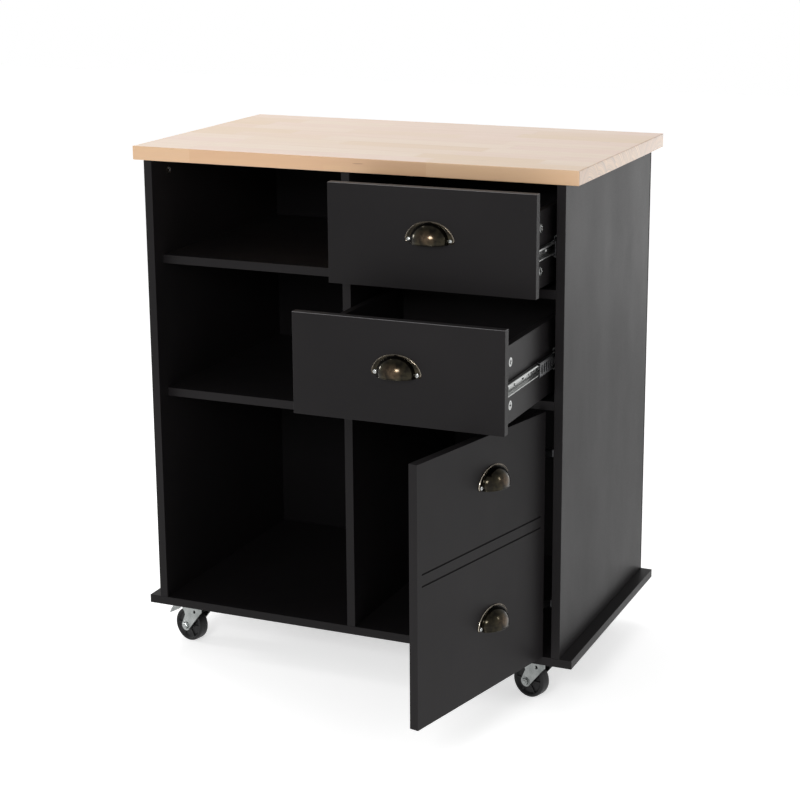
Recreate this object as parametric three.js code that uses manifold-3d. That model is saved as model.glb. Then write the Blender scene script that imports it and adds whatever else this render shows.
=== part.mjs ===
// A kitchen island cart on four swivel casters: a black board cabinet under a solid wood worktop.
// Left side: open shelves. Right side: two drawers on ball-bearing slides above one hinged door.
// Millimetres, +Z up, the floor at z = 0. X runs left to right, the cabinet's front is its -Y side.
// The drawers and the door are drawn part open, which is the rest position of their joints.
import * as THREE from 'three';
import { mergeVertices } from 'three/addons/utils/BufferGeometryUtils.js';
import Module from 'manifold-3d';

const wasm = await Module();
wasm.setup();

// ---------- driving dimensions ----------
const WORKTOP = { width: 800, depth: 470, thickness: 24 };
const BOARD = 15;                  // thickness of the cabinet's boards, drawer fronts and door
const BACK_THICKNESS = 5;
const CABINET_WIDTH = 758;         // outside the side panels
const CABINET_HEIGHT = 790;        // from the base board's top to the worktop's underside
const CASTER_HEIGHT = 88;          // floor to the base board's underside
const SHELF_SETBACK = 28;          // how far the open shelves stand behind the cabinet's front
const LOWER_SHELF_UNDERSIDE = 472;
const FRONT_GAP = 2;               // reveal round each drawer front and the door
const DRAWER_OPENING = 167.5;      // height of each drawer's opening
const RUNNING_GAP = 0.3;           // between pieces that touch or nearly touch

const UPPER_DRAWER_OUT = 88;       // how far each drawer stands out at rest
const LOWER_DRAWER_OUT = 222;
const DRAWER_BOX = {
  board: 12, height: 123, length: 380, rise: 7, backHeight: 108,
  bottom: 4, bottomRise: 10, groove: 5,
};

const SLIDE = {
  space: 12.75, length: 350, setback: 18, rise: 57.5, steel: 1.2,
  cabinetHeight: 35, middleHeight: 24.6, drawerHeight: 20,
  middleLength: 300, middleSetback: 48, middleRatio: 0.5,
};

const DOOR_ANGLE = 77;             // how far the door stands open at rest, in degrees
const LINK_ANGLE = 69;             // how far its hinge links have turned by then, the other way
const HINGE = {
  fromDoorEnd: 80,
  armPin: { fromEdge: 35.13, fromFace: 10.24 },  // places in from the closed door's edge and its face
  cupPin: { fromEdge: 11, fromFace: 12 },
  pocket: { fromEdge: 22.5, radius: 18, depth: 12.4 },
  cup: { radius: 17.6, flange: 20.5, wall: 1, floor: 0.6 },
  notch: { from: 8, depth: 7, halfWidth: 7 },
  link: { width: 10, thickness: 1.6, barrel: 1.6, bow: 9, bowAt: 0.82 },
  arm: { halfWidth: 6, nose: 1.7, linkSpace: 5.2, clearsCup: 17, neck: 10, from: 34, to: 74, reach: 17 },
  mount: { thickness: 3, from: 30, to: 70, halfHeight: 24 },
};
const DOOR_GROOVE = { width: 3, depth: 2.5, endMargin: 12, heights: [228.5, 247.5] };

const PULL = {
  halfWidth: 41.5, below: 5, above: 29.5, plate: 1.6, earRadius: 7, earTop: 2,
  dome: { halfWidth: 32, reach: 23, above: 26.5 }, wall: 1.5,
};
const DOOR_PULL_HEIGHTS = [110, 342];          // screw line above the door's bottom edge
const DOOR_PULL_FROM_HINGE = 152;              // nearer the hinge side than the door's middle

const CASTER = {
  insetX: 70, insetY: 60, trail: 24, plateSize: 56, plate: 2.5,
  screwHole: { radius: 2.6, fromEdge: 6 }, raceway: { radius: 20, height: 9 },
  cap: { radius: 22, from: 73, to: 78.5 },
  leg: { gap: 29, thickness: 2.5, front: -15, back: 18, top: 78, frontLow: 62, endRadius: 9 },
  brakeEar: { back: 30, low: 59, neck: 21 },
  wheelRadius: 31, axleRadius: 4, boreRadius: 4.06, nut: { radius: 6, thickness: 3.5 },
  brake: { halfWidth: 13.5, pivot: 22, knee: 34, bend: 51, tip: 66 },
};
const CASTERS = [
  { name: 'front_left', side: -1, end: 0, heading: 166, brake: true },
  { name: 'front_right', side: 1, end: 0, heading: 163, brake: true },
  { name: 'rear_left', side: -1, end: 1, heading: 158, brake: false },
  { name: 'rear_right', side: 1, end: 1, heading: 170, brake: false },
];

// ---------- heights and widths that follow from them ----------
const DEPTH = WORKTOP.depth;
const BOARD_DEPTH = DEPTH - BACK_THICKNESS;
const BASE_TOP = CASTER_HEIGHT + BOARD;
const CABINET_TOP = BASE_TOP + CABINET_HEIGHT;
const OUTER = CABINET_WIDTH / 2;
const INNER = OUTER - BOARD;
const HALF_BOARD = BOARD / 2;
const RAIL_UNDERSIDE = CABINET_TOP - DRAWER_OPENING - BOARD;
const DECK_UNDERSIDE = RAIL_UNDERSIDE - DRAWER_OPENING - BOARD;
const FRONT_LEFT = HALF_BOARD + FRONT_GAP;
const FRONT_RIGHT = INNER - FRONT_GAP;
const FRONT_CENTRE = (HALF_BOARD + INNER) / 2;
const FRONT_HEIGHT = DRAWER_OPENING - 2 * FRONT_GAP;
const DOOR_BOTTOM = BASE_TOP + FRONT_GAP;
const DOOR_TOP = DECK_UNDERSIDE - FRONT_GAP;

// ---------- finishes ----------
const finish = (color, roughness, metalness) => (
  new THREE.MeshStandardMaterial({ color, roughness, metalness })
);
const BLACK_BOARD = finish(0x2b2a2b, 0.5, 0);
const BLACK_BACK = finish(0x242325, 0.65, 0);
const RUBBERWOOD = finish(0xe6cba4, 0.5, 0);
const ZINC = finish(0xb9bbbd, 0.35, 0.9);
const BRONZE = finish(0x4a3c2c, 0.35, 0.9);
const CHROME = finish(0xc4c6c8, 0.25, 0.95);
const BLACK_TYRE = finish(0x18181a, 0.55, 0);

// ---------- shape helpers ----------
function block(x0, x1, y0, y1, z0, z1) {
  const shape = new THREE.BoxGeometry(x1 - x0, y1 - y0, z1 - z0);
  return shape.translate((x0 + x1) / 2, (y0 + y1) / 2, (z0 + z1) / 2);
}

function extrude(outline, length) {
  return new THREE.ExtrudeGeometry(outline, { depth: length, bevelEnabled: false, curveSegments: 7 });
}

function polygon(points) {
  return new THREE.Shape(points.map(([a, b]) => new THREE.Vector2(a, b)));
}

// An outline drawn in X and Z, swept along Y.
function sweepY(outline, y0, y1) {
  return extrude(outline, y1 - y0).rotateX(Math.PI / 2).translate(0, y1, 0);
}

// A round bar or disc along one axis.
function bar(axis, radius, from, to, sides = 24) {
  const shape = new THREE.CylinderGeometry(radius, radius, to - from, sides);
  shape.translate(0, (from + to) / 2, 0);
  if (axis === 'x') shape.rotateZ(-Math.PI / 2);
  if (axis === 'z') shape.rotateX(Math.PI / 2);
  return shape;
}

function solid(geometry) {
  const bare = geometry.clone();
  bare.deleteAttribute('normal');
  bare.deleteAttribute('uv');
  const merged = mergeVertices(bare, 1e-4);
  return new wasm.Manifold(new wasm.Mesh({
    numProp: 3,
    vertProperties: Float32Array.from(merged.attributes.position.array),
    triVerts: Uint32Array.from(merged.index.array),
  }));
}

function surface(manifold) {
  const mesh = manifold.getMesh();
  const geometry = new THREE.BufferGeometry();
  geometry.setAttribute('position', new THREE.BufferAttribute(mesh.vertProperties, 3));
  geometry.setIndex(new THREE.BufferAttribute(mesh.triVerts, 1));
  geometry.computeVertexNormals();
  return geometry;
}

function cut(geometry, ...tools) {
  return surface(tools.reduce((body, tool) => body.subtract(solid(tool)), solid(geometry)));
}

function join(geometry, ...others) {
  return surface(others.reduce((body, other) => body.add(solid(other)), solid(geometry)));
}

function place(group, name, geometry, material) {
  const mesh = new THREE.Mesh(geometry, material);
  mesh.name = name;
  group.add(mesh);
  return mesh;
}

function groupAt(parent, x, y, z, turnDegrees = 0) {
  const group = new THREE.Group();
  group.position.set(x, y, z);
  group.rotation.z = THREE.MathUtils.degToRad(turnDegrees);
  parent.add(group);
  return group;
}

// ---------- cabinet ----------
function addCabinet(cart) {
  const half = WORKTOP.width / 2;
  const top = CABINET_TOP;
  place(cart, 'worktop', block(-half, half, 0, DEPTH, top, top + WORKTOP.thickness), RUBBERWOOD);
  place(cart, 'base_board', block(-half, half, 0, DEPTH, CASTER_HEIGHT, BASE_TOP), BLACK_BOARD);
  const uprights = [
    ['left_side_panel', -OUTER, -INNER],
    ['center_divider', -HALF_BOARD, HALF_BOARD],
    ['right_side_panel', INNER, OUTER],
  ];
  for (const [name, x0, x1] of uprights) {
    place(cart, name, block(x0, x1, 0, BOARD_DEPTH, BASE_TOP, top), BLACK_BOARD);
  }
  place(cart, 'back_panel', block(-OUTER, OUTER, BOARD_DEPTH, DEPTH, BASE_TOP, top), BLACK_BACK);
  const shelves = [
    ['upper_left_shelf', -INNER, -HALF_BOARD, SHELF_SETBACK, BOARD_DEPTH, RAIL_UNDERSIDE],
    ['lower_left_shelf', -INNER, -HALF_BOARD, SHELF_SETBACK, BOARD_DEPTH, LOWER_SHELF_UNDERSIDE],
    ['drawer_rail', HALF_BOARD, INNER, 0, 80, RAIL_UNDERSIDE],
    ['compartment_deck', HALF_BOARD, INNER, 0, BOARD_DEPTH, DECK_UNDERSIDE],
  ];
  for (const [name, x0, x1, y0, y1, z] of shelves) {
    place(cart, name, block(x0, x1, y0, y1, z, z + BOARD), BLACK_BOARD);
  }
}

// ---------- cup pull, drawn on a face that looks towards -Y, centred on its screw line ----------
function pullPlateOutline() {
  const outline = new THREE.Shape();
  const { halfWidth, below, above, earRadius, earTop } = PULL;
  const shoulder = { x: halfWidth * 0.9, z: above * 0.66 };
  outline.moveTo(-halfWidth + earRadius, -below);
  outline.lineTo(halfWidth - earRadius, -below);
  outline.quadraticCurveTo(halfWidth, -below, halfWidth, earTop);
  outline.bezierCurveTo(shoulder.x, shoulder.z, halfWidth / 2, above, 0, above);
  outline.bezierCurveTo(-halfWidth / 2, above, -shoulder.x, shoulder.z, -halfWidth, earTop);
  outline.quadraticCurveTo(-halfWidth, -below, -halfWidth + earRadius, -below);
  return outline;
}

function domeSolid(inset) {
  const { halfWidth, reach, above } = PULL.dome;
  const ball = new THREE.SphereGeometry(1, 20, 12);
  ball.scale(halfWidth - inset, reach - inset, above - inset);
  return ball;
}

function pullGeometry() {
  const { below, plate, wall, dome, halfWidth } = PULL;
  const far = halfWidth * 2;
  const shell = solid(domeSolid(0)).subtract(solid(domeSolid(wall)));
  const keep = solid(block(-far, far, -far, -plate / 2, -below, far));
  const backing = solid(sweepY(pullPlateOutline(), -plate, 0));
  const hollow = solid(domeSolid(wall)).intersect(solid(block(-far, far, -far, far, -far, dome.above)));
  return surface(shell.intersect(keep).add(backing.subtract(hollow)));
}

function addPull(group, name, x, faceY, z) {
  const mesh = place(group, name, pullGeometry(), BRONZE);
  mesh.position.set(x, faceY - RUNNING_GAP, z);
}

// ---------- drawers ----------
// A steel channel lying along Y. side is +1 when its open side looks towards +X.
function channel(webX, side, height, flange, lip, y0, y1) {
  const { steel } = SLIDE;
  const half = height / 2;
  const points = [
    [0, -half], [flange, -half], [flange, -half + lip], [flange - steel, -half + lip],
    [flange - steel, -half + steel], [steel, -half + steel], [steel, half - steel],
    [flange - steel, half - steel], [flange - steel, half - lip], [flange, half - lip],
    [flange, half], [0, half],
  ];
  const outline = side > 0 ? points : points.map(([x, z]) => [-x, z]).reverse();
  return sweepY(polygon(outline), y0, y1).translate(webX, 0, 0);
}

// Nested channels of one slide. wall is the cabinet face it is screwed to, towards is the
// direction from that wall to the drawer.
function addSlide(cart, name, wall, towards, z, out) {
  const { space, length, setback, middleHeight, middleLength, middleSetback, middleRatio } = SLIDE;
  const cabinet = channel(wall, towards, SLIDE.cabinetHeight, 10, 3.6, setback, setback + length);
  place(cart, `${name}_cabinet_member`, cabinet, ZINC).position.z = z;
  const middleStart = middleSetback - middleRatio * out;
  const middle = channel(
    wall + towards * 2.2, towards, middleHeight, 7.2, SLIDE.steel, middleStart, middleStart + middleLength,
  );
  place(cart, `${name}_middle_member`, middle, ZINC).position.z = z;
  const drawerStart = setback - out;
  const inner = channel(
    wall + towards * (space - RUNNING_GAP), -towards, SLIDE.drawerHeight, 8.2, SLIDE.steel,
    drawerStart, drawerStart + length,
  );
  place(cart, `${name}_drawer_member`, inner, ZINC).position.z = z;
}

// A drawer's side board with the groove that holds its bottom. inward is the way to the box's middle.
function drawerSide(outerX, inward, y0, z0) {
  const { board, height, length, bottom, bottomRise, groove } = DRAWER_BOX;
  const low = bottomRise - RUNNING_GAP;
  const high = bottomRise + bottom + RUNNING_GAP;
  const points = [
    [0, 0], [board, 0], [board, low], [board - groove, low],
    [board - groove, high], [board, high], [board, height], [0, height],
  ];
  const outline = inward > 0 ? points : points.map(([x, z]) => [-x, z]).reverse();
  return sweepY(polygon(outline), y0, y0 + length).translate(outerX, 0, z0);
}

function addDrawer(cart, name, openingBottom, out) {
  const frontBottom = openingBottom + FRONT_GAP;
  const face = -out;
  const boxFront = face + BOARD;
  const boxBottom = frontBottom + DRAWER_BOX.rise;
  const left = HALF_BOARD + SLIDE.space;
  const right = INNER - SLIDE.space;
  const { board, length, backHeight, bottom, bottomRise, groove } = DRAWER_BOX;
  const boxEnd = boxFront + length;
  const frontTop = frontBottom + FRONT_HEIGHT;
  const front = block(FRONT_LEFT, FRONT_RIGHT, face, boxFront, frontBottom, frontTop);
  place(cart, `${name}_drawer_front`, front, BLACK_BOARD);
  place(cart, `${name}_drawer_left_side`, drawerSide(left, 1, boxFront, boxBottom), BLACK_BOARD);
  place(cart, `${name}_drawer_right_side`, drawerSide(right, -1, boxFront, boxBottom), BLACK_BOARD);
  const backBottom = boxBottom + bottomRise + bottom + RUNNING_GAP;
  const back = block(
    left + board, right - board, boxEnd - board, boxEnd, backBottom, backBottom + backHeight,
  );
  place(cart, `${name}_drawer_back`, back, BLACK_BOARD);
  const reach = board - groove + RUNNING_GAP;
  const tray = block(
    left + reach, right - reach, boxFront + RUNNING_GAP, boxEnd - RUNNING_GAP,
    boxBottom + bottomRise, boxBottom + bottomRise + bottom,
  );
  place(cart, `${name}_drawer_bottom`, tray, BLACK_BACK);
  addPull(cart, `${name}_drawer_pull`, FRONT_CENTRE, face, frontBottom + FRONT_HEIGHT / 2);
  const slideZ = boxBottom + SLIDE.rise;
  addSlide(cart, `${name}_left_slide`, HALF_BOARD, 1, slideZ, out);
  addSlide(cart, `${name}_right_slide`, INNER, -1, slideZ, out);
}

// ---------- door, drawn closed in its own group, whose origin is the hinge-side front edge ----------
// In that group the door runs towards -X and its thickness towards +Y.
function doorHingeHeights() {
  return { lower: HINGE.fromDoorEnd, upper: DOOR_TOP - DOOR_BOTTOM - HINGE.fromDoorEnd };
}

function doorPanel() {
  const width = FRONT_RIGHT - FRONT_LEFT;
  const height = DOOR_TOP - DOOR_BOTTOM;
  const { pocket } = HINGE;
  const tools = Object.values(doorHingeHeights()).map((z) => (
    bar('y', pocket.radius, BOARD - pocket.depth, BOARD + 1, 32).translate(-pocket.fromEdge, 0, z)
  ));
  const { width: slot, depth, endMargin, heights } = DOOR_GROOVE;
  for (const z of heights) {
    const vee = new THREE.CylinderGeometry(slot / 2, slot / 2, width - 2 * endMargin, 8);
    vee.rotateZ(Math.PI / 2).scale(1, 2 * depth / slot, 1).translate(-width / 2, 0, z);
    tools.push(vee);
  }
  return cut(block(-width, 0, 0, BOARD, 0, height), ...tools);
}

// The hinge's cup: a bowl in the door with a flange on its inner face, notched for the link.
function hingeCup() {
  const { cup, pocket, notch } = HINGE;
  const floor = BOARD - pocket.depth + RUNNING_GAP;
  const rim = BOARD + RUNNING_GAP;
  const flangeTop = rim + cup.wall;
  const inside = cup.radius - cup.wall;
  const profile = [
    [0, floor], [cup.radius, floor], [cup.radius, rim], [cup.flange, rim], [cup.flange, flangeTop],
    [inside, flangeTop], [inside, floor + cup.floor], [0, floor + cup.floor],
  ].map(([radius, height]) => new THREE.Vector2(radius, height));
  const bowl = new THREE.LatheGeometry(profile, 20);
  const { from, depth, halfWidth } = notch;
  const opening = block(from, cup.flange + 1, BOARD - depth, flangeTop + 1, -halfWidth, halfWidth);
  return cut(bowl, opening);
}

// The hinge's link: a bowed strap between its two pin barrels, drawn in closed-door places. It bows
// towards the door's face, so that it passes over the door's edge when the door is wide open.
function hingeLink() {
  const { armPin, cupPin, link } = HINGE;
  const half = link.width / 2;
  const from = new THREE.Vector2(-armPin.fromEdge, armPin.fromFace);
  const to = new THREE.Vector2(-cupPin.fromEdge, cupPin.fromFace);
  const length = from.distanceTo(to);
  const edge = link.thickness / 2;
  const bend = length * link.bowAt;
  const outline = new THREE.Shape();
  outline.moveTo(0, -edge);
  outline.quadraticCurveTo(bend, -link.bow - edge, length, -edge);
  outline.lineTo(length, edge);
  outline.quadraticCurveTo(bend, -link.bow + edge, 0, edge);
  const strap = extrude(outline, link.width).translate(0, 0, -half);
  const barrels = [0, length].map((x) => bar('z', link.barrel, -half, half, 16).translate(x, 0, 0));
  const shape = join(strap, ...barrels);
  shape.rotateZ(Math.atan2(to.y - from.y, to.x - from.x));
  return shape;
}

// The hinge's arm and mounting plate, fixed to the side panel, in cabinet places about the hinge's
// height. The arm leaves the pin inward, past the cup's rim, and then runs along the side panel.
function hingeArm() {
  const { armPin, link, arm, mount } = HINGE;
  const { halfWidth, nose, clearsCup, neck, from, to, reach } = arm;
  const pinX = FRONT_RIGHT - armPin.fromEdge;
  const pinY = armPin.fromFace;
  const plateFace = INNER - mount.thickness;
  const plate = block(plateFace, INNER, mount.from, mount.to, -mount.halfHeight, mount.halfHeight);
  const body = block(INNER - reach, plateFace + 1, from, to, -halfWidth, halfWidth);
  const outline = polygon([
    [pinX - nose, pinY - nose], [pinX + nose, pinY - nose], [pinX + neck, clearsCup],
    [INNER - reach + 5, from + 2], [INNER - reach + 5, from + neck], [INNER - reach, from + neck],
    [pinX + nose, clearsCup + 5], [pinX - nose, pinY],
  ]);
  const necked = extrude(outline, 2 * halfWidth).translate(0, 0, -halfWidth);
  const slotHalf = link.width / 2 + RUNNING_GAP;
  const slot = bar('z', arm.linkSpace, -slotHalf, slotHalf, 20).translate(pinX, pinY, 0);
  return cut(join(plate, body, necked), slot);
}

function addDoor(cart) {
  const { armPin, cupPin } = HINGE;
  const heights = doorHingeHeights();
  const armX = FRONT_RIGHT - armPin.fromEdge;
  // The links swing about the arms' pins, and the door turns about the links' far pins.
  const links = groupAt(cart, armX, armPin.fromFace, DOOR_BOTTOM, -LINK_ANGLE);
  const reachX = armPin.fromEdge - cupPin.fromEdge;
  const reachY = cupPin.fromFace - armPin.fromFace;
  const door = groupAt(links, reachX, reachY, 0, LINK_ANGLE + DOOR_ANGLE);
  const panel = groupAt(door, cupPin.fromEdge, -cupPin.fromFace, 0);
  place(panel, 'door_panel', doorPanel(), BLACK_BOARD);
  for (const [level, z] of Object.entries(heights)) {
    place(links, `${level}_hinge_link`, hingeLink(), ZINC).position.z = z;
    place(panel, `${level}_hinge_cup`, hingeCup(), ZINC).position.set(-HINGE.pocket.fromEdge, 0, z);
    place(cart, `${level}_hinge_arm`, hingeArm(), ZINC).position.z = DOOR_BOTTOM + z;
  }
  const [low, high] = DOOR_PULL_HEIGHTS;
  addPull(panel, 'door_lower_pull', -DOOR_PULL_FROM_HINGE, 0, low);
  addPull(panel, 'door_upper_pull', -DOOR_PULL_FROM_HINGE, 0, high);
}

// ---------- casters, drawn about the swivel axis with the wheel trailing towards +X ----------
function casterPlate() {
  const { plateSize, plate, screwHole, raceway } = CASTER;
  const half = plateSize / 2;
  const corner = half - screwHole.fromEdge;
  const ring = bar('z', raceway.radius, CASTER_HEIGHT - raceway.height, CASTER_HEIGHT - plate / 2, 32);
  const screwHoles = [-1, 1].flatMap((sx) => [-1, 1].map((sy) => (
    bar('z', screwHole.radius, CASTER_HEIGHT - plate - 1, CASTER_HEIGHT + 1, 12)
      .translate(sx * corner, sy * corner, 0)
  )));
  const flat = block(-half, half, -half, half, CASTER_HEIGHT - plate, CASTER_HEIGHT);
  return cut(join(flat, ring), ...screwHoles);
}

// One cheek of the fork. Where there is a brake, an ear at its back carries the lever.
function forkLegOutline(brake) {
  const { trail, wheelRadius, leg, brakeEar } = CASTER;
  const { front, back, top, frontLow, endRadius } = leg;
  const backTangent = 0.35;
  const frontTangent = -2.6;
  const outline = new THREE.Shape();
  outline.moveTo(front, top);
  outline.lineTo(brake ? brakeEar.back : back, top);
  if (brake) {
    outline.lineTo(brakeEar.back, brakeEar.low + 4);
    outline.lineTo(brakeEar.neck, brakeEar.low);
  }
  outline.absarc(trail, wheelRadius, endRadius, backTangent, frontTangent, true);
  outline.lineTo(front, frontLow);
  return outline;
}

function casterFork(brake) {
  const { trail, wheelRadius, axleRadius, cap, leg, nut } = CASTER;
  const inner = leg.gap / 2;
  const outer = inner + leg.thickness;
  const crown = bar('z', cap.radius, cap.from, cap.to, 32);
  const cheeks = [-outer, inner].map((y) => sweepY(forkLegOutline(brake), y, y + leg.thickness));
  const axle = bar('y', axleRadius, -outer, outer, 24).translate(trail, 0, wheelRadius);
  const nuts = [[-outer - nut.thickness, -outer + 0.5], [outer - 0.5, outer + nut.thickness]].map(
    ([y0, y1]) => bar('y', nut.radius, y0, y1, 6).translate(trail, 0, wheelRadius),
  );
  return join(crown, ...cheeks, axle, ...nuts);
}

// Hub, thin web, rim and rounded tread, as radius and half width from the axle outwards.
function casterWheel() {
  const { wheelRadius, boreRadius } = CASTER;
  const half = [
    [boreRadius, 13], [9.5, 13], [11, 9.5], [24, 8], [27, 11], [29.6, 10.2], [wheelRadius, 7],
  ];
  const other = half.map(([radius, y]) => [radius, -y]).reverse();
  const profile = [...half, ...other, half[0]].map(([radius, y]) => new THREE.Vector2(radius, y));
  return new THREE.LatheGeometry(profile.reverse(), 24);
}

// The foot lever, cranked at its knee and turned down past the wheel, as distance behind the swivel
// axis and height.
function brakeLever() {
  const { halfWidth, pivot, knee, bend, tip } = CASTER.brake;
  const outline = polygon([
    [pivot, 66], [knee - 4, 64.5], [knee, 67.5], [bend, 63], [tip - 7, 57], [tip, 45],
    [tip + 2, 46.5], [tip - 5, 59.5], [bend + 1, 66], [knee, 71], [pivot, 70.5],
  ]);
  return sweepY(outline, -halfWidth, halfWidth);
}

function addCaster(cart, { name, side, end, heading, brake }) {
  const { insetX, insetY, trail, wheelRadius } = CASTER;
  const x = side * (WORKTOP.width / 2 - insetX);
  const y = end ? DEPTH - insetY : insetY;
  place(cart, `${name}_caster_plate`, casterPlate(), CHROME).position.set(x, y, 0);
  const swivel = groupAt(cart, x, y, 0, heading);
  place(swivel, `${name}_caster_fork`, casterFork(brake), CHROME);
  const wheel = place(swivel, `${name}_caster_wheel`, casterWheel(), BLACK_TYRE);
  wheel.position.set(trail, 0, wheelRadius);
  if (brake) place(swivel, `${name}_brake_lever`, brakeLever(), CHROME);
}

// ---------- assembly ----------
const cart = new THREE.Group();
addCabinet(cart);
addDrawer(cart, 'upper', RAIL_UNDERSIDE + BOARD, UPPER_DRAWER_OUT);
addDrawer(cart, 'lower', DECK_UNDERSIDE + BOARD, LOWER_DRAWER_OUT);
addDoor(cart);
for (const caster of CASTERS) addCaster(cart, caster);

// The origin is on the floor, under the middle of the cart as it stands at rest.
cart.updateMatrixWorld(true);
const middle = new THREE.Box3().setFromObject(cart, true).getCenter(new THREE.Vector3());
cart.position.set(-middle.x, -middle.y, 0);

export default cart;
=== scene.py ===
"""A kitchen island cart: finishes, fine fittings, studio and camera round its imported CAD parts.

The boards and the worktop are the CAD parts, with eased edges and new materials. The cup pulls, drawer
slides and casters are built again in finer detail, and screws, cam fasteners, balls and nails are added.
Shapes are drawn in millimetres in their own frames, and turned to metres as their meshes are made.
"""

import math

import bmesh
import bpy
import numpy as np
from mathutils import Matrix, Vector
from mathutils.geometry import tessellate_polygon


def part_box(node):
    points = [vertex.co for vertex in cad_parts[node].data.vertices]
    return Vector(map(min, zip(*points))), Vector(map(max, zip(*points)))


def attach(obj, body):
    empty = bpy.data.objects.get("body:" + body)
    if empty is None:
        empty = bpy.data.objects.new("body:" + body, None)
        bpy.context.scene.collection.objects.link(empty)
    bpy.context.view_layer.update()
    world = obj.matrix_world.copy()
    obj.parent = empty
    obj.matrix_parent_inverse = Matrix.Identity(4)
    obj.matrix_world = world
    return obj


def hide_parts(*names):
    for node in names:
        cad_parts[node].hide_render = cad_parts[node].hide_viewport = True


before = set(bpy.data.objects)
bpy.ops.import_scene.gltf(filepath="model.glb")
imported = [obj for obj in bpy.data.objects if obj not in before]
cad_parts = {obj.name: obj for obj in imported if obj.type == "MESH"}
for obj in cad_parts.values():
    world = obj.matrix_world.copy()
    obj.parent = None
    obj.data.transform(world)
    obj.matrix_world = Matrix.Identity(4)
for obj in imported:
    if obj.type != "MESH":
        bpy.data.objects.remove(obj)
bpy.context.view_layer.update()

MM = 0.001

# ----- driving values, in millimetres and degrees -----
BOARD_BEVEL = 0.7
WORKTOP_BEVEL = 1.4
STAVES = 10                        # rows of staves across the worktop
STAVE_LENGTH = 270
DOOR_ANGLE = 77                    # how far the door stands open at rest
DOOR_THICKNESS = 15

PULL = {"half": 41.5, "below": 5, "above": 29.5, "ear": 7, "ear_top": 2, "off_board": 0.3}
PULL_SCREW = {"apart": 35, "out": 1.5}
DOME = {"half": 32.2, "reach": 23.5, "above": 28.0}
PULL_WALL = 1.7
PULL_STEPS = [                     # distance in from the plate's edge, its height there, and its wear
    (0.0, 0.4, 0.4), (0.12, 0.9, 1.0), (0.35, 1.1, 0.9), (0.55, 1.05, 0.1), (0.75, 0.8, 0.0),
    (1.0, 0.85, 0.0), (1.3, 1.15, 0.6), (1.6, 1.2, 0.0),
]
CREST_HIGHLIGHT = {"x": 2, "z": 7, "wide": 18, "high": 13, "wear_and_highlight": 0.3}      # a gold patch on the dome's crest: partly rubbing, partly a painted highlight

HEADS = {                          # radius, height, crown, and the cross's half width, reach and depth
    "pull_screw": (3.4, 1.9, 1.1, 0.45, 1.9, 0.9),
    "slide_screw": (3.1, 1.4, 0.8, 0.4, 1.7, 0.8),
    "plate_screw": (4.2, 2.6, 1.3, 0.55, 2.3, 1.2),
    "cam_disc": (7.4, 1.0, 0.25, 1.1, 4.6, 0.8),
    "nail_head": (2.4, 0.7, 0.5, 0.01, 0.01, 0.05, 20, 4),
}
BALL_RADIUS = 1.5
CAM = {"sunk": 0.5, "behind_front": 38, "from_middle": 34, "inset": 59, "down": 24}
NAIL = {"inset": 7.5, "end": 10, "rows": 8, "gaps": 7, "sunk": 0.1}
CUP_SCREW = {"inset": 30, "out": 1.2, "apart": 16}     # in from the door's hinge edge, out from its inside
ARM_SCREW = {"inset": 48, "out": 3, "apart": 17}       # back from the arm's front end, out from the panel
ADJUSTER = {"insets": (38, 52), "out": 17}
SLIDE_STEEL = 1.2
SLIDE_SCREWS = (52, 180, 310)      # along the drawer member
CAGE = {"start": 4, "length": 130, "near": 1.6, "far": 5.2, "thickness": 0.7}
CAGE_BALLS = {"count": 9, "first": 12, "pitch": 14, "out": 3.4, "hole": 1.7}

CASTER = {
    "trail": 24, "plate": 56, "hole": 21, "thickness": 2.5, "wheel": 31, "gap": 29, "leg": 2.5,
    "top": 88, "crown": 78.2, "race": 19.6,
}

# ----- colours -----
BLACK_DEEP = (0.0064, 0.0058, 0.0062, 1)
BLACK_LIT = (0.0110, 0.0098, 0.0103, 1)
DUST = (0.11, 0.105, 0.10, 1)
HARDBOARD_LOW = (0.0028, 0.0025, 0.0028, 1)
HARDBOARD_HIGH = (0.0062, 0.0056, 0.0061, 1)
WOOD_PALE = (0.77, 0.58, 0.42, 1)
WOOD_PINK = (0.755, 0.525, 0.40, 1)
WOOD_GOLD = (0.69, 0.465, 0.235, 1)
WOOD_EDGE_PALE = (0.66, 0.465, 0.31, 1)
WOOD_EDGE_GOLD = (0.50, 0.29, 0.145, 1)
WOOD_FIBRE = (0.56, 0.35, 0.18, 1)
WOOD_END = (0.25, 0.155, 0.095, 1)
WOOD_MARK = (0.22, 0.115, 0.05, 1)
EDGE_HIGHLIGHT_GREY = (0.16, 0.156, 0.16, 1)
ZINC_LIGHT = (0.50, 0.51, 0.50, 1)
ZINC_DARK = (0.27, 0.28, 0.28, 1)
DULL_ZINC_LIGHT = (0.34, 0.355, 0.35, 1)
DULL_ZINC_DARK = (0.11, 0.125, 0.12, 1)
SHADED_NICKEL_DARK = (0.055, 0.055, 0.057, 1)
SHADED_NICKEL_LIGHT = (0.11, 0.11, 0.115, 1)
BRONZE_DARK = (0.0085, 0.0068, 0.004, 1)
BRONZE_WARM = (0.027, 0.0225, 0.0125, 1)
BRONZE_GOLD = (0.115, 0.078, 0.048, 1)
BRONZE_RUBBED = (0.85, 0.78, 0.66, 1)
RUBBER_LOW = (0.0045, 0.0045, 0.005, 1)
RUBBER_HIGH = (0.011, 0.011, 0.0115, 1)


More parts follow.
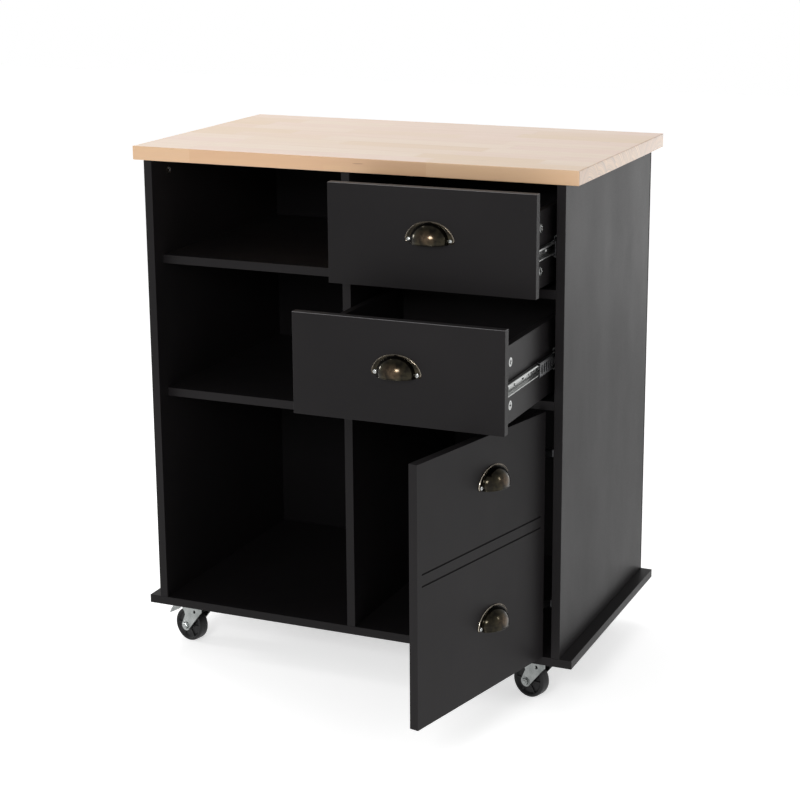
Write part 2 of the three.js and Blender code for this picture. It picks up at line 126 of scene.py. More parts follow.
# ----- shader graphs -----
class Graph:
    """One material's shader nodes, with short calls for the common ones."""

    def __init__(self, name, settings):
        self.material = bpy.data.materials.new(name)
        self.material.use_nodes = True
        self.tree = self.material.node_tree
        self.shader = self.tree.nodes["Principled BSDF"]
        self.point = self.node("ShaderNodeTexCoord").outputs["Object"]
        for socket, value in settings.items():
            self.shader.inputs[socket].default_value = value

    def node(self, kind, inputs=None, **settings):
        node = self.tree.nodes.new(kind)
        for key, value in settings.items():
            setattr(node, key, value)
        for key, value in (inputs or {}).items():
            if isinstance(value, bpy.types.NodeSocket):
                self.tree.links.new(value, node.inputs[key])
            else:
                node.inputs[key].default_value = value
        return node

    def math(self, operation, a, b=0.0):
        return self.node("ShaderNodeMath", {0: a, 1: b}, operation=operation).outputs[0]

    def plus(self, a, b):
        return self.math("ADD", a, b)

    def minus(self, a, b):
        return self.math("SUBTRACT", a, b)

    def times(self, a, b):
        return self.math("MULTIPLY", a, b)

    def stretch(self, vector, x, y, z):
        return self.node("ShaderNodeVectorMath", {0: vector, 1: (x, y, z)}, operation="MULTIPLY").outputs[0]

    def shift(self, vector, by):
        return self.node("ShaderNodeVectorMath", {0: vector, 1: by}, operation="ADD").outputs[0]

    def axes(self, vector):
        return self.node("ShaderNodeSeparateXYZ", {0: vector}).outputs

    def join(self, x, y, z):
        return self.node("ShaderNodeCombineXYZ", {0: x, 1: y, 2: z}).outputs[0]

    def noise(self, vector, scale, detail, roughness=0.5):
        inputs = {"Vector": vector, "Scale": scale, "Detail": detail, "Roughness": roughness}
        return self.node("ShaderNodeTexNoise", inputs).outputs[0]

    def random(self, value, seed):
        vector = self.join(value, seed, 0.0)
        return self.node("ShaderNodeTexWhiteNoise", {"Vector": vector}, noise_dimensions="3D").outputs[0]

    def span(self, value, low, high, to_low=0.0, to_high=1.0):
        return self.node("ShaderNodeMapRange", {0: value, 1: low, 2: high, 3: to_low, 4: to_high}).outputs[0]

    def mix(self, share, a, b):
        return self.node("ShaderNodeMix", {0: share, 6: a, 7: b}, data_type="RGBA").outputs[2]

    def bump(self, height, strength, distance, under=None):
        inputs = {"Height": height, "Strength": strength, "Distance": distance}
        if under is not None:
            inputs["Normal"] = under
        return self.node("ShaderNodeBump", inputs).outputs[0]

    def finish(self, colour, roughness=None, normal=None):
        for socket, value in {"Base Color": colour, "Roughness": roughness, "Normal": normal}.items():
            if value is not None:
                self.tree.links.new(value, self.shader.inputs[socket])
        return self.material


def satin_black(name, painted_edge_highlight):
    """Black foil: pebbled, clouded, smudged and dusty, and, where asked, painted grey along its upper edges
    as a highlight of light from above.
    """
    g = Graph(name, {"Specular IOR Level": 0.11})
    tone = g.span(g.noise(g.point, 3.2, 3), 0.3, 0.7)
    speckle = g.span(g.noise(g.point, 700, 2), 0.25, 0.75)
    base = g.mix(tone, BLACK_DEEP, BLACK_LIT)
    base = g.mix(g.times(speckle, 0.35), base, BLACK_LIT)
    dust = g.span(g.noise(g.point, 330, 4, 0.7), 0.68, 0.80)
    base = g.mix(g.times(dust, 0.30), base, DUST)
    if painted_edge_highlight:
        # Painted highlight: bevels that tilt upwards turn grey, as if lit from above.
        upward = g.axes(g.node("ShaderNodeTexCoord").outputs["Normal"])[2]
        level_squared = g.minus(1.0, g.times(upward, upward))
        level = g.math("SQRT", g.math("MAXIMUM", level_squared, 0.0))
        base = g.mix(g.span(g.times(upward, level), 0.12, 0.40), base, EDGE_HIGHLIGHT_GREY)
    smudge = g.span(g.noise(g.stretch(g.point, 1, 1, 0.45), 9, 5, 0.6), 0.30, 0.75, 0.38, 0.45)
    fine = g.span(speckle, 0, 1, -0.04, 0.04)
    pebble = g.bump(g.noise(g.point, 900, 3, 0.6), 0.10, 0.0004)
    wave = g.bump(g.noise(g.point, 60, 2), 0.05, 0.0006, pebble)
    return g.finish(base, g.plus(smudge, fine), wave)


def black_hardboard():
    """The back and the drawers' trays: matt, with the short felted fibres of hardboard."""
    g = Graph("black_hardboard", {"Specular IOR Level": 0.07})
    fibre = g.noise(g.stretch(g.point, 1, 1, 3.5), 260, 5, 0.7)
    cloud = g.span(g.noise(g.point, 5, 4), 0.3, 0.7)
    base = g.mix(g.span(fibre, 0.35, 0.7), HARDBOARD_LOW, HARDBOARD_HIGH)
    base = g.mix(g.times(cloud, 0.2), base, BLACK_LIT)
    rough = g.span(fibre, 0.3, 0.7, 0.56, 0.72)
    return g.finish(base, rough, g.bump(fibre, 0.25, 0.0004))


def rubberwood():
    """Finger-jointed staves along X, each with its own tone and grain, and end grain on the ends."""
    low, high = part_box("worktop")
    width = (high.y - low.y) / STAVES
    g = Graph("rubberwood", {"Specular IOR Level": 0.5, "Coat Weight": 0.8, "Coat Roughness": 0.28})
    x, y, z = g.axes(g.point)
    across = g.math("DIVIDE", g.minus(y, low.y), width)
    row = g.math("FLOOR", across)
    row_seed = g.random(row, 3.7)
    # Finger joints: the stave's end zigzags across its width.
    fingers = g.math("PINGPONG", g.times(across, 4.0), 0.5)
    along = g.plus(x, g.times(fingers, 0.016))
    along = g.plus(along, g.times(row_seed, 0.61))
    wander = g.math("SINE", g.plus(g.times(along, 9.0), g.times(row_seed, 2 * math.pi)))
    along = g.plus(along, g.times(wander, 0.07))
    along = g.math("DIVIDE", along, STAVE_LENGTH * MM)
    stave = g.plus(g.times(row, 17.0), g.math("FLOOR", along))
    tone, hue, offset = (g.random(stave, seed) for seed in (0.3, 5.1, 9.4))
    # Grain: long fibres, slower growth bands and short pores, shifted so that no two staves match.
    own = g.shift(g.point, g.join(g.times(offset, 3.0), g.times(tone, 2.0), hue))
    warp = g.noise(g.stretch(own, 3, 14, 14), 1, 2)
    own = g.shift(own, g.join(0.0, g.times(warp, 0.012), g.times(warp, 0.012)))
    bands = g.noise(g.stretch(own, 2.5, 120, 120), 1, 3, 0.6)
    fibres = g.noise(g.stretch(own, 18, 900, 900), 1, 4, 0.7)
    pores = g.span(g.noise(g.stretch(own, 90, 1500, 1500), 1, 2), 0.66, 0.74)
    marks = g.span(g.noise(g.stretch(own, 14, 130, 130), 1, 2), 0.765, 0.80)
    base = g.mix(hue, WOOD_PALE, WOOD_PINK)
    base = g.mix(g.span(tone, 0.55, 1.0, 0.0, 0.75), base, WOOD_GOLD)
    base = g.mix(g.span(bands, 0.45, 0.72, 0.0, 0.30), base, WOOD_FIBRE)
    base = g.mix(g.span(fibres, 0.42, 0.70, 0.0, 0.22), base, WOOD_FIBRE)
    base = g.mix(g.times(pores, 0.42), base, WOOD_FIBRE)
    base = g.mix(g.times(marks, 0.55), base, WOOD_MARK)
    # Glue lines between rows and at the finger joints.
    in_row = g.minus(g.math("FRACT", across), 0.5)
    row_edge = g.math("ABSOLUTE", in_row)
    end_edge = g.math("ABSOLUTE", g.minus(g.math("FRACT", along), 0.5))
    glue = g.math("MAXIMUM", g.span(row_edge, 0.488, 0.498), g.span(end_edge, 0.4965, 0.4995))
    base = g.mix(g.times(glue, 0.34), base, WOOD_FIBRE)
    # End grain, seen only on the two ends: arcs of growth about a centre below the board.
    ring_y = g.minus(g.times(in_row, width), g.times(g.minus(tone, 0.5), 0.09))
    ring_z = g.plus(g.minus(z, low.z), 0.03)
    ring = g.join(ring_y, ring_z, 0.0)
    reach = g.node("ShaderNodeVectorMath", {0: ring}, operation="LENGTH").outputs["Value"]
    rings = g.noise(g.join(g.times(reach, 330.0), offset, 0.0), 1, 3, 0.6)
    dots = g.noise(g.point, 1400, 2)
    end = g.mix(g.span(tone, 0.2, 0.8), WOOD_FIBRE, WOOD_EDGE_GOLD)
    end = g.mix(g.span(rings, 0.30, 0.65), end, WOOD_END)
    end = g.mix(g.span(dots, 0.58, 0.72, 0.0, 0.5), end, WOOD_MARK)
    facing = g.axes(g.node("ShaderNodeTexCoord").outputs["Normal"])
    patch = g.span(g.random(stave, 7.7), 0.2, 0.8)
    # Partly painted shade: the front and back edges take a darker, more golden colour than the top, which
    # shows a paler sheen in light. They keep their own stave patches, bands and marks.
    edge_wood = g.mix(patch, WOOD_EDGE_PALE, WOOD_EDGE_GOLD)
    edge_wood = g.mix(g.span(bands, 0.42, 0.66, 0.0, 0.5), edge_wood, WOOD_FIBRE)
    edge_wood = g.mix(g.span(marks, 0.0, 1.0, 0.0, 0.6), edge_wood, WOOD_MARK)
    base = g.mix(g.span(g.math("ABSOLUTE", facing[1]), 0.5, 0.9, 0.0, 0.8), base, edge_wood)
    base = g.mix(g.span(g.math("ABSOLUTE", facing[0]), 0.6, 0.9), base, end)
    rough = g.span(fibres, 0.3, 0.7, 0.40, 0.52)
    rough = g.plus(rough, g.span(g.noise(g.point, 6, 3), 0.3, 0.7, -0.04, 0.05))
    fine = g.bump(g.minus(fibres, g.times(pores, 0.6)), 0.14, 0.0003)
    joint = g.bump(g.times(glue, -1.0), 0.25, 0.0002, fine)
    return g.finish(base, rough, joint)


def plated_steel(name, light, dark, rough_low, rough_high, brushed):
    """Zinc plate: a soft clouded tone, hairlines along the piece and small dull spots."""
    g = Graph(name, {"Metallic": 1.0})
    cloud = g.span(g.noise(g.point, 60, 3), 0.3, 0.7)
    hair = g.noise(g.stretch(g.point, *brushed), 1, 4, 0.7)
    spots = g.span(g.noise(g.point, 420, 3), 0.66, 0.76)
    base = g.mix(g.times(cloud, 0.5), light, dark)
    base = g.mix(g.times(spots, 0.5), base, dark)
    rough = g.plus(g.span(hair, 0.3, 0.7, rough_low, rough_high), g.times(spots, 0.12))
    return g.finish(base, rough, g.bump(hair, 0.08, 0.0002))


def shade_darkened_nickel():
    """The concealed hinges and the slides' middle members: dull dark nickel plate, clouded and lightly
    scratched, its darkness painted shade.
    """
    g = Graph("shade_darkened_nickel", {"Metallic": 1.0})
    cloud = g.span(g.noise(g.point, 90, 4), 0.3, 0.7)
    scratch = g.noise(g.stretch(g.point, 900, 120, 900), 1, 3, 0.6)
    # Painted shade: both tones sit far below bright nickel, for the shade round the hinges and inside the
    # cabinet.
    base = g.mix(cloud, SHADED_NICKEL_DARK, SHADED_NICKEL_LIGHT)
    return g.finish(base, g.span(scratch, 0.3, 0.7, 0.30, 0.44), g.bump(scratch, 0.08, 0.0002))


def antique_bronze():
    """Dark bronze patina, softly mottled, turned gold and rubbed pale by the amount held in the mesh: wear
    along the rim, and a painted highlight on the dome's crest.
    """
    g = Graph("antique_bronze", {"Metallic": 1.0, "Coat Weight": 0.2, "Coat Roughness": 0.12})
    wear_and_highlight = g.node("ShaderNodeAttribute", attribute_name="wear_and_highlight").outputs["Fac"]
    mottle = g.noise(g.point, 95, 4, 0.6)
    fine = g.noise(g.point, 900, 3, 0.6)
    base = g.mix(g.span(mottle, 0.40, 0.62), BRONZE_DARK, BRONZE_WARM)
    # A little of it turns the bronze gold: the crest's painted highlight, and the rim under its wear.
    base = g.mix(g.times(g.span(wear_and_highlight, 0.0, 0.3), g.span(mottle, 0.3, 0.6)), base, BRONZE_GOLD)
    rubbed = g.times(g.span(wear_and_highlight, 0.3, 1.0), g.span(fine, 0.25, 0.60, 0.45, 1.0))
    base = g.mix(rubbed, base, BRONZE_RUBBED)
    rough = g.plus(g.span(mottle, 0.35, 0.65, 0.22, 0.15), g.span(fine, 0.3, 0.7, -0.02, 0.02))
    hammer = g.bump(mottle, 0.04, 0.0004)
    return g.finish(base, rough, g.bump(fine, 0.05, 0.0001, hammer))


def black_rubber():
    """The wheels: hard black rubber, dusty and scuffed."""
    g = Graph("black_rubber", {"Specular IOR Level": 0.25})
    scuff = g.noise(g.point, 240, 5, 0.7)
    fine = g.noise(g.point, 1500, 2)
    base = g.mix(g.span(scuff, 0.35, 0.7), RUBBER_LOW, RUBBER_HIGH)
    base = g.mix(g.span(fine, 0.66, 0.80, 0.0, 0.18), base, DUST)
    return g.finish(base, g.span(scuff, 0.3, 0.7, 0.34, 0.52), g.bump(fine, 0.15, 0.0003))


def dark_plastic():
    """Ball cages and wheel hubs: black nylon with a faint mould texture."""
    g = Graph("dark_plastic", {"Specular IOR Level": 0.25})
    grain = g.noise(g.point, 800, 3)
    base = g.mix(g.span(grain, 0.3, 0.7), RUBBER_LOW, RUBBER_HIGH)
    return g.finish(base, g.span(grain, 0.3, 0.7, 0.40, 0.55), g.bump(grain, 0.12, 0.0002))


# ----- shapes: each returns its corners, in millimetres, and its faces -----
class Shape:
    """Closed surfaces gathered into one mesh, with an optional amount of wear and painted highlight at each
    corner.
    """

    def __init__(self):
        self.corners = []
        self.faces = []
        self.wear_and_highlight = []

    def add(self, part, place=Matrix(), wear_and_highlight=None):
        corners, faces = part
        base = len(self.corners)
        self.corners += [place @ Vector(corner) for corner in corners]
        self.faces += [[base + i for i in face] for face in faces]
        self.wear_and_highlight += list(wear_and_highlight) if wear_and_highlight is not None else [0.0] * len(corners)
        return self

    def mesh(self, name, material, sharp=32):
        mesh = bpy.data.meshes.new(name)
        mesh.from_pydata([corner * MM for corner in self.corners], [], self.faces)
        mesh.attributes.new("wear_and_highlight", "FLOAT", "POINT").data.foreach_set("value", self.wear_and_highlight)
        edit = bmesh.new()
        edit.from_mesh(mesh)
        bmesh.ops.remove_doubles(edit, verts=edit.verts, dist=1e-6)
        bmesh.ops.recalc_face_normals(edit, faces=edit.faces)
        edit.to_mesh(mesh)
        edit.free()
        mesh.materials.append(material)
        mesh.shade_smooth()
        mesh.set_sharp_from_angle(angle=math.radians(sharp))
        return mesh


def at(x=0.0, y=0.0, z=0.0):
    """A move in millimetres, for parts of a shape."""
    return Matrix.Translation((x, y, z))


def turn(degrees, axis):
    return Matrix.Rotation(math.radians(degrees), 4, axis)


def lathe(profile, sides, loop=False):
    """A profile of radii and heights turned about Z. A point on the axis closes that end."""
    corners, rings = [], []
    for radius, height in profile:
        count = sides if radius > 1e-6 else 1
        rings.append([len(corners) + i for i in range(count)])
        corners += [(x, y, height) for x, y in circle(0, 0, radius, count)]
    faces = []
    pairs = list(zip(rings, rings[1:])) + ([(rings[-1], rings[0])] if loop else [])
    for low, high in pairs:
        for i in range(sides):
            j = (i + 1) % sides
            ring = [low[i % len(low)], low[j % len(low)], high[j % len(high)], high[i % len(high)]]
            face = list(dict.fromkeys(ring))
            if len(face) > 2:
                faces.append(face)
    return corners, faces


def sheet(outline, thickness, holes=()):
    """A flat plate in X and Y, from z = 0 up to its thickness, with holes through it."""
    loops = [list(outline), *[list(hole) for hole in holes]]
    flat = [point for loop in loops for point in loop]
    count = len(flat)
    corners = [(x, y, 0) for x, y in flat] + [(x, y, thickness) for x, y in flat]
    faces = []
    for a, b, c in tessellate_polygon([[Vector((x, y, 0)) for x, y in loop] for loop in loops]):
        faces += [[a, c, b], [a + count, b + count, c + count]]
    base = 0
    for loop in loops:
        for i in range(len(loop)):
            a, b = base + i, base + (i + 1) % len(loop)
            faces.append([a, b, b + count, a + count])
        base += len(loop)
    return corners, faces


def ribbon(path, thickness, start, end):
    """A bent strip of sheet: a path in X and Z, given a thickness and swept along Y."""
    points = [Vector(p) for p in path]
    sides = [[], []]
    for i, point in enumerate(points):
        along = (points[min(i + 1, len(points) - 1)] - points[max(i - 1, 0)]).normalized()
        off = Vector((-along.y, along.x)) * thickness / 2
        sides[0].append(point + off)
        sides[1].append(point - off)
    outline = sides[0] + sides[1][::-1]
    count = len(outline)
    corners = [(p.x, y, p.y) for y in (start, end) for p in outline]
    faces = [[i, (i + 1) % count, (i + 1) % count + count, i + count] for i in range(count)]
    for i in range(len(points) - 1):
        cap = [i, i + 1, count - 2 - i, count - 1 - i]
        faces += [cap[::-1], [c + count for c in cap]]
    return corners, faces


def tube(path, radius, sides):
    """A round bar along a path of points, closed at both ends."""
    points = [Vector(p) for p in path]
    corners, faces = [], []
    for i, point in enumerate(points):
        along = (points[min(i + 1, len(points) - 1)] - points[max(i - 1, 0)]).normalized()
        side = along.cross(Vector((0, 0, 1)))
        side = side.normalized() if side.length > 1e-6 else Vector((1, 0, 0))
        up = side.cross(along)
        corners += [point + radius * (x * side + y * up) for x, y in circle(0, 0, 1, sides)]
    for i in range(len(points) - 1):
        for k in range(sides):
            j = (k + 1) % sides
            faces.append([i * sides + k, i * sides + j, (i + 1) * sides + j, (i + 1) * sides + k])
    last = (len(points) - 1) * sides
    faces += [list(range(sides))[::-1], [last + k for k in range(sides)]]
    return corners, faces


def circle(x, y, radius, count):
    angles = [2 * math.pi * i / count for i in range(count)]
    return [(x + radius * math.cos(a), y + radius * math.sin(a)) for a in angles]


def arc(x, y, radius, start, end, count=8):
    """Points along an arc, in degrees."""
    angles = [math.radians(start + (end - start) * i / count) for i in range(count + 1)]
    return [(x + radius * math.cos(a), y + radius * math.sin(a)) for a in angles]


def slot_hole(x, y, half, radius, upright=False):
    """A round-ended slot, half its straight length either way from its middle."""
    points = arc(half, 0, radius, -90, 90) + arc(-half, 0, radius, 90, 270)
    return [(x - b, y + a) if upright else (x + a, y + b) for a, b in points]


def rounded(x0, x1, y0, y1, radius):
    """A rectangle with rounded corners."""
    left, right, low, high = x0 + radius, x1 - radius, y0 + radius, y1 - radius
    return (
        arc(right, low, radius, -90, 0, 5) + arc(right, high, radius, 0, 90, 5)
        + arc(left, high, radius, 90, 180, 5) + arc(left, low, radius, 180, 270, 5)
    )


def bend(controls):
    """Points along the curve that three or four control points bend."""
    share = np.linspace(0, 1, 25)[:, None]
    curves = [np.array(point) + 0 * share for point in controls]
    while len(curves) > 1:
        curves = [a * (1 - share) + b * share for a, b in zip(curves, curves[1:])]
    return curves[0]


def cross_head(radius, height, crown, arm, reach, depth, sides=48, rings=12):
    """A screw head or cam face about Z, from z = 0, with a cross sunk into its top."""

    def ease(value, width):
        share = min(max(value / width + 0.5, 0.0), 1.0)
        return share * share * (3 - 2 * share)

    def sunk(x, y):
        first = ease(arm - abs(y), 0.25) * ease(reach - abs(x), 0.4)
        second = ease(arm - abs(x), 0.25) * ease(reach - abs(y), 0.4)
        return depth * max(first, second)

    corners = [(0, 0, height - depth)]
    faces = []
    for ring in range(1, rings + 1):
        share = ring / rings
        out = radius * share * (1 - 0.06 * (ring == rings))
        corners += [(x, y, height - crown * share ** 2.4 - sunk(x, y)) for x, y in circle(0, 0, out, sides)]
    for level in (height - crown - 0.2, 0.0):
        corners += [(x, y, level) for x, y in circle(0, 0, radius, sides)]
    for i in range(sides):
        faces.append([0, 1 + i, 1 + (i + 1) % sides])
    for ring in range(rings + 1):
        for i in range(sides):
            j = (i + 1) % sides
            a, b = 1 + ring * sides, 1 + (ring + 1) * sides
            faces.append([a + i, b + i, b + j, a + j])
    base = 1 + (rings + 1) * sides
    faces.append([base + i for i in range(sides)][::-1])
    return corners, faces


# ----- placing pieces -----
def metres(x, y, z):
    return Matrix.Translation((x * MM, y * MM, z * MM))


def add_piece(name, mesh, body, place, bevel=0.0, replaces=()):
    """One piece of the cart, riding on a CAD body, with its edges eased."""
    piece = bpy.data.objects.new(name, mesh)
    bpy.context.scene.collection.objects.link(piece)
    piece.matrix_world = place
    if bevel:
        ease_edges(piece, bevel)
    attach(piece, body)
    if replaces:
        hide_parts(*replaces)
    return piece


def fasten(name, mesh, body, spot, lean, axis, twist):
    """A screw, cam or nail with its head leant over from +Z, and twisted about its own length."""
    add_piece(name, mesh, body, spot @ turn(lean, axis) @ turn(twist, "Z"))


def ease_edges(piece, width, segments=2):
    bevel = piece.modifiers.new("eased edges", "BEVEL")
    bevel.width = width * MM
    bevel.segments = segments
    bevel.limit_method = "ANGLE"
    bevel.angle_limit = math.radians(32)
    normals = piece.modifiers.new("even shading", "WEIGHTED_NORMAL")
    normals.keep_sharp = False


def dress_node(name, material, bevel):
    """A CAD node that stays: its own material, and its edges eased."""
    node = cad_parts[name]
    node.data.materials.clear()
    node.data.materials.append(material)
    if "custom_normal" in node.data.attributes:
        node.data.attributes.remove(node.data.attributes["custom_normal"])
    node.modifiers.new("joined corners", "WELD").merge_threshold = 1e-5
    flat = node.modifiers.new("whole faces", "DECIMATE")
    flat.decimate_type = "DISSOLVE"
    flat.angle_limit = math.radians(0.5)
    node.data.shade_smooth()
    ease_edges(node, bevel, 3)


def centre_of(node):
    low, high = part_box(node)
    return (low + high) / 2 / MM


def corners_of(node):
    low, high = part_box(node)
    return low / MM, high / MM


def door_frame():
    """The door's own frame: its hinge-side front corner, the door towards -X and its inside towards +Y."""
    low, high = corners_of("door_panel")
    angle = math.radians(DOOR_ANGLE)
    return metres(high.x, high.y - DOOR_THICKNESS * math.cos(angle), low.z) @ turn(DOOR_ANGLE, "Z")


# ----- cup pulls -----
def pull_edge(angles):
    """The plate's reach from the middle of its lower lip, at each angle from +X."""
    half, below, above = PULL["half"], PULL["below"], PULL["above"]
    ear, top = PULL["ear"], PULL["ear_top"]
    ear_curve = bend([(half - ear, -below), (half, -below), (half, top)])
    arch = bend([(half, top), (half * 0.9, above * 0.66), (half / 2, above), (0, above)])
    right = np.vstack([ear_curve, arch[1:]]) - np.array([0, -below])
    bearing = np.arctan2(right[:, 1], right[:, 0])
    mirrored = np.minimum(angles, math.pi - angles)
    return np.interp(mirrored, bearing, np.hypot(right[:, 0], right[:, 1]))


def dome_foot(angles):
    """Where the dome meets the plate: the reach from the middle of the lower lip, at each angle."""
    half, above, below = DOME["half"], DOME["above"], PULL["below"]
    a = (np.cos(angles) / half) ** 2 + (np.sin(angles) / above) ** 2
    b = -2 * below * np.sin(angles) / above ** 2
    c = (below / above) ** 2 - 1
    return (-b + np.sqrt(b * b - 4 * a * c)) / (2 * a)


def pull_height(x, z, past_foot, from_edge):
    """How far the pull stands off the board: the dome or the stepped plate, with a soft join between."""
    swell = 1 - (x / DOME["half"]) ** 2 - (z / DOME["above"]) ** 2
    dome = DOME["reach"] * math.sqrt(swell) if swell > 0 else -3.0 * max(0.0, past_foot)
    inward, level, _ = np.array(PULL_STEPS).T
    plate = float(np.interp(from_edge, inward, level))
    soft = 0.5
    high, low = max(dome, plate), min(dome, plate)
    return high + soft * math.log1p(math.exp((low - high) / soft)) * 0.35


def pull_surface(angles):
    """The pull's outer face as rows of points from the lip's middle outwards, and the wear and painted
    highlight at each.
    """
    edge, foot, below = pull_edge(angles), dome_foot(angles), PULL["below"]
    inward, _, rubbed = np.array(PULL_STEPS).T
    rows = [foot * math.sin(math.radians(step)) for step in range(0, 90, 5)]
    rows += [foot * 0.9985]
    rows += [foot + (edge - foot) * share for share in (0.07, 0.15, 0.24, 0.34)]
    rows += [edge - depth for depth in inward[::-1]]
    outer = np.zeros((len(rows), len(angles), 3))
    wear_and_highlight = np.zeros((len(rows), len(angles)))
    for i, row in enumerate(rows):
        for j, angle in enumerate(angles):
            x = row[j] * math.cos(angle)
            z = -below + row[j] * math.sin(angle)
            outer[i, j] = (x, -pull_height(x, z, row[j] - foot[j], edge[j] - row[j]), z)
            # Painted highlight: a gold patch that fades out from the dome's crest.
            from_crest = math.hypot((x - CREST_HIGHLIGHT["x"]) / CREST_HIGHLIGHT["wide"], (z - CREST_HIGHLIGHT["z"]) / CREST_HIGHLIGHT["high"])
            wear_and_highlight[i, j] = CREST_HIGHLIGHT["wear_and_highlight"] * max(0.0, 1 - from_crest)
    wear_and_highlight[-len(PULL_STEPS):] = rubbed[::-1, None]
    return outer, wear_and_highlight


def pull_back(outer):
    """The pull's inner face, one wall's thickness behind its outer face and not into the board."""
    normal = np.cross(np.gradient(outer, axis=0), np.gradient(outer, axis=1))
    length = np.linalg.norm(normal, axis=2, keepdims=True)
    normal = np.where(length > 1e-9, normal / np.maximum(length, 1e-9), np.array([0, -1.0, 0]))
    normal *= np.sign(-normal[..., 1:2] + 1e-6 + 1e-3 * normal[..., 2:3])
    normal[0] = (0, -1, 0)
    inner = outer - normal * PULL_WALL
    inner[..., 1] = np.minimum(inner[..., 1], 0.15)
    inner[:, 0, 2] = inner[:, -1, 2] = -PULL["below"]
    return inner


def shell_faces(rows, wide):
    """Faces over two matching grids of points, the outer and then the inner, and round their rim."""
    count = rows * wide
    faces = []
    for i in range(rows - 1):
        for j in range(wide - 1):
            p = [i * wide + j, i * wide + j + 1, (i + 1) * wide + j + 1, (i + 1) * wide + j]
            faces += [p, [count + q for q in p[::-1]]]
        for j in (0, wide - 1):
            p = i * wide + j
            faces.append([p, p + wide, count + p + wide, count + p])
    for j in range(wide - 1):
        p = (rows - 1) * wide + j
        faces.append([p, p + 1, count + p + 1, count + p])
    return faces


def pull_mesh(material):
    """The pressed cup and its stepped plate as one sheet, with a rolled lip along the mouth."""
    outer, wear_and_highlight = pull_surface(np.linspace(0, math.pi, 97))
    inner = pull_back(outer)
    corners = [tuple(p) for p in outer.reshape(-1, 3)] + [tuple(p) for p in inner.reshape(-1, 3)]
    shape = Shape().add((corners, shell_faces(*wear_and_highlight.shape)), wear_and_highlight=[*wear_and_highlight.ravel(), *([0.0] * wear_and_highlight.size)])
    half, above, below = DOME["half"], DOME["above"], PULL["below"]
    mouth = math.sqrt(1 - (below / above) ** 2)
    width, deep = half * mouth, DOME["reach"] * mouth
    turns = np.linspace(0.05, math.pi - 0.05, 60)
    lip = [(width * math.cos(t), 0.6 - deep * math.sin(t), 0.1 - below) for t in turns]
    shape.add(tube(lip, 1.05, 10))
    return shape.mesh("cup_pull", material, 50)


def add_pulls(bronze, screw):
    mesh = pull_mesh(bronze)
    places = {}
    for level in ("upper", "lower"):
        low, high = corners_of(f"{level}_drawer_pull")
        front = corners_of(f"{level}_drawer_front")[0]
        z = centre_of(f"{level}_drawer_front").z
        place = metres((low.x + high.x) / 2, front.y - PULL["off_board"], z)
        places[f"{level}_drawer_pull"] = (place, f"{level}_drawer")
        low, high = corners_of(f"door_{level}_pull")
        inward = door_frame().inverted() @ ((low + high) / 2 * MM)
        up = low.z + PULL["below"] - corners_of("door_panel")[0].z
        place = door_frame() @ metres(inward.x / MM, -PULL["off_board"], up)
        places[f"door_{level}_pull"] = (place, "door")
    for node, (place, body) in places.items():
        add_piece(f"{node}_cup", mesh, body, place, replaces=[node])
        for side, name in ((-1, "left"), (1, "right")):
            spot = place @ metres(side * PULL_SCREW["apart"], -PULL_SCREW["out"], 0)
            fasten(f"{node}_{name}_screw", screw, body, spot, 90, "X", 20 + 31 * side)


# ----- drawer slides -----
def member_mesh(name, material, length, height, flange, lip, holes):
    """A rolled channel along Y: its web in the YZ plane at x = 0, its races towards +X."""
    half, fold, steel = height / 2, 2.2, SLIDE_STEEL
    web, mid = half - fold, steel / 2
    plate = sheet([(0, -web), (length, -web), (length, web), (0, web)], steel, holes)
    shape = Shape().add(plate, Matrix(((0, 0, 1, 0), (1, 0, 0, 0), (0, 1, 0, 0), (0, 0, 0, 1))))
    for side in (-1, 1):
        path = [(mid, web)]
        path += [(fold - x, web + y) for x, y in arc(0, 0, fold - mid, 0, 90, 5)]
        path += [(flange - fold + x, web + y) for x, y in arc(0, 0, fold - mid, 90, 0, 5)]
        path += [(flange - mid, web - lip)]
        shape.add(ribbon([(x, side * z) for x, z in path], steel, 0, length))
    return shape.mesh(name, material, 40)


def ladder_holes(length):
    """Upright windows along the middle member, with a narrow rung between each and the next."""
    return [slot_hole(y, 0, 4.2, 3.4, upright=True) for y in range(9, int(length) - 8, 11)]


def slide_holes(length, spacing):
    """Round holes along a member, between slots that lie along it and across it by turns."""
    holes = []
    for i in range(int((length - 36) / spacing) + 1):
        y = 22 + i * spacing
        holes.append(slot_hole(y, 0, 2.4, 1.5, upright=i % 2 == 0))
        holes.append(circle(y + spacing * 0.4, 0, 2.0, 14))
    return [hole for hole in holes if max(y for y, _ in hole) < length - 4]


